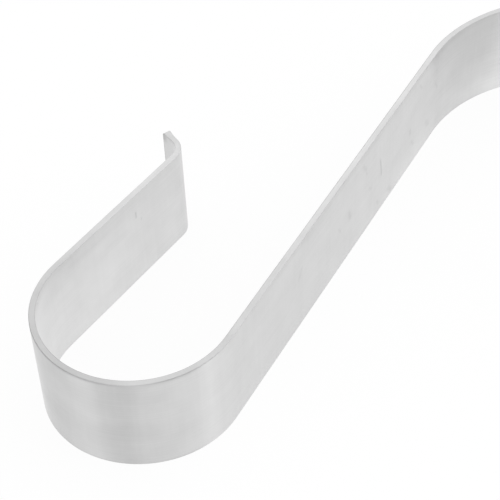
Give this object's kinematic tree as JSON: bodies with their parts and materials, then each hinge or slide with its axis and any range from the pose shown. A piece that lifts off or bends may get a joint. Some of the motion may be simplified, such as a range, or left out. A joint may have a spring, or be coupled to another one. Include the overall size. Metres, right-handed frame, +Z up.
{
  "type": "s hook",
  "caption": "Flat steel strip bent into an S: a wide upper hook for a rail or panel top and a smaller lower hook for the load, with both ends turned outward.",
  "frame": {"origin": "middle of the straight shank, on the strip's long edge that the hook lies on", "axes": "+Z up across the strip's width, +Y along the shank towards the wide upper hook, +X towards the upper hook's free leg"},
  "size_m": [0.1009, 0.1364, 0.02],
  "materials": {
    "plated_steel": "satin grey plating on cold rolled steel strip"
  },
  "bodies": {
    "root": {"s_hook": "plated_steel"}
  },
  "joints": []
}
